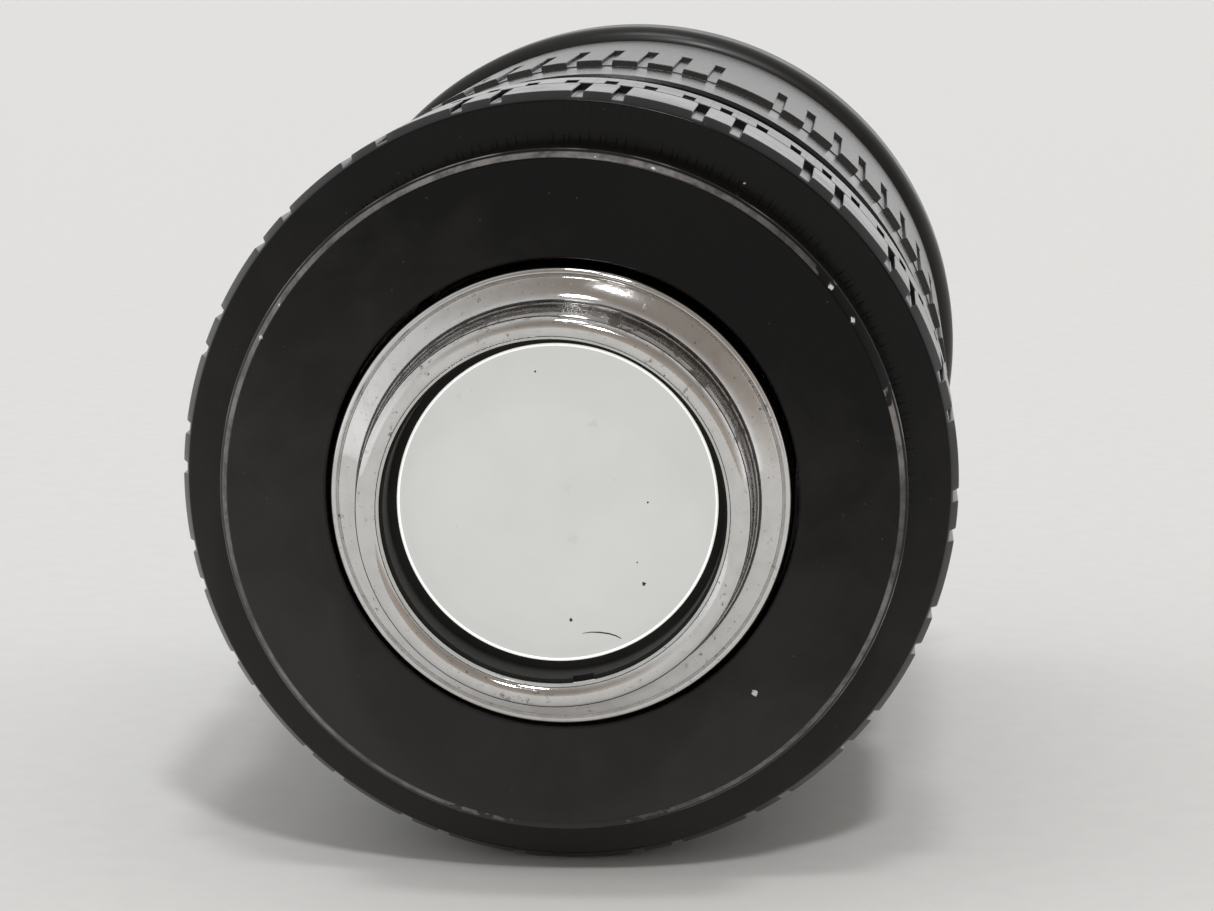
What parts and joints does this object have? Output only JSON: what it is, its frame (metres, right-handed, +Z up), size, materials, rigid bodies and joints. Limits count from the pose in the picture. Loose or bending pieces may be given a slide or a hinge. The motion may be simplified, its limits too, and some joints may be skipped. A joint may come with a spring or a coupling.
{
  "type": "prime camera lens",
  "caption": "Single-focus telephoto camera lens with a domed chrome rear collar, notched aperture ring, rubber focus grip, flared front rim and a working leaf iris.",
  "frame": {"origin": "centre of the black rear plate's flat face, where the lens meets what holds it", "axes": "+Y along the optical axis towards the front of the lens, +Z up as the lens lies or is held level, +X to the right as seen from the rear"},
  "size_m": [0.0626, 0.1002, 0.0626],
  "materials": {
    "black_satin_metal": "satin black anodised aluminium",
    "matt_black_metal": "matt anti-reflection black",
    "dark_aluminium": "dark anodised",
    "dark_steel": "blackened steel",
    "bright_steel": "turned steel",
    "blade_steel": "blued spring steel",
    "bare_aluminium": "turned, greased",
    "brass": "turned",
    "chrome": "polished, lightly specked",
    "black_rubber": "moulded, semi-matt",
    "coated_glass": "polished, anti-reflection coated",
    "rear_glass": "polished, hazy, lightly dusted"
  },
  "bodies": {
    "barrel": {"rear_plate": "black_satin_metal", "plate_screws": "dark_steel", "main_barrel": "black_satin_metal", "barrel_nut": "dark_aluminium", "focus_keys": "brass", "key_screws": "bright_steel", "focus_stop_screw": "bright_steel"},
    "aperture": {"aperture_ring": "black_satin_metal", "aperture_fork": "brass", "fork_screws": "bright_steel", "detent_ball": "bright_steel", "detent_spring": "bright_steel"},
    "focus": {"focus_sleeve": "black_satin_metal", "focus_grip": "black_rubber", "focus_helicoid": "brass", "helicoid_screws": "dark_steel"},
    "optics": {"inner_barrel": "bare_aluminium", "front_barrel": "black_satin_metal", "name_ring": "black_satin_metal", "front_retainer": "matt_black_metal", "front_element": "coated_glass", "front_cell": "matt_black_metal", "second_element": "coated_glass", "second_retainer": "matt_black_metal", "third_element": "coated_glass", "third_retainer": "matt_black_metal", "iris_housing": "matt_black_metal", "iris_cover": "matt_black_metal", "iris_clip": "bright_steel", "rear_cell": "matt_black_metal", "rear_collar": "chrome", "rear_retainer": "matt_black_metal", "rear_element": "rear_glass", "rear_spacer": "matt_black_metal", "rear_inner_element": "coated_glass"},
    "iris_cam": {"iris_cam_ring": "bare_aluminium", "iris_drive_pin": "brass"},
    "iris_blade_1": {"iris_blade_1": "blade_steel"},
    "iris_blade_2": {"iris_blade_2": "blade_steel"},
    "iris_blade_3": {"iris_blade_3": "blade_steel"},
    "iris_blade_4": {"iris_blade_4": "blade_steel"},
    "iris_blade_5": {"iris_blade_5": "blade_steel"},
    "iris_blade_6": {"iris_blade_6": "blade_steel"}
  },
  "joints": [
    {"name": "focus_turn", "type": "hinge", "parent": "barrel", "child": "focus", "pos_m": [0, 0.06, 0], "axis": [0, 1, 0], "range_deg": [0, 250]},
    {"name": "focus_travel", "type": "slide", "parent": "barrel", "child": "optics", "axis": [0, 1, 0], "range_m": [0, 0.013]},
    {"name": "aperture_turn", "type": "hinge", "parent": "barrel", "child": "aperture", "pos_m": [0, 0.015, 0], "axis": [0, 1, 0], "range_deg": [0, 50]},
    {"name": "iris_cam_turn", "type": "hinge", "parent": "optics", "child": "iris_cam", "pos_m": [0, 0.0296, 0], "axis": [0, 1, 0], "range_deg": [0, 50]},
    {"name": "iris_blade_1_turn", "type": "hinge", "parent": "optics", "child": "iris_blade_1", "pos_m": [0.0174, 0.0324, 0], "axis": [0, 1, 0], "range_deg": [0, 39]},
    {"name": "iris_blade_2_turn", "type": "hinge", "parent": "optics", "child": "iris_blade_2", "pos_m": [0.0087, 0.0324, -0.01507], "axis": [0, 1, 0], "range_deg": [0, 39]},
    {"name": "iris_blade_3_turn", "type": "hinge", "parent": "optics", "child": "iris_blade_3", "pos_m": [-0.0087, 0.0324, -0.01507], "axis": [0, 1, 0], "range_deg": [0, 39]},
    {"name": "iris_blade_4_turn", "type": "hinge", "parent": "optics", "child": "iris_blade_4", "pos_m": [-0.0174, 0.0324, 0], "axis": [0, 1, 0], "range_deg": [0, 39]},
    {"name": "iris_blade_5_turn", "type": "hinge", "parent": "optics", "child": "iris_blade_5", "pos_m": [-0.0087, 0.0324, 0.01507], "axis": [0, 1, 0], "range_deg": [0, 39]},
    {"name": "iris_blade_6_turn", "type": "hinge", "parent": "optics", "child": "iris_blade_6", "pos_m": [0.0087, 0.0324, 0.01507], "axis": [0, 1, 0], "range_deg": [0, 39]}
  ],
  "couplings": [
    {"joint": "focus_travel", "follows": "focus_turn", "m_per_rad": 0.0029794},
    {"joint": "iris_cam_turn", "follows": "aperture_turn", "ratio": 1},
    {"joint": "iris_blade_1_turn", "follows": "aperture_turn", "ratio": 0.78},
    {"joint": "iris_blade_2_turn", "follows": "aperture_turn", "ratio": 0.78},
    {"joint": "iris_blade_3_turn", "follows": "aperture_turn", "ratio": 0.78},
    {"joint": "iris_blade_4_turn", "follows": "aperture_turn", "ratio": 0.78},
    {"joint": "iris_blade_5_turn", "follows": "aperture_turn", "ratio": 0.78},
    {"joint": "iris_blade_6_turn", "follows": "aperture_turn", "ratio": 0.78}
  ]
}
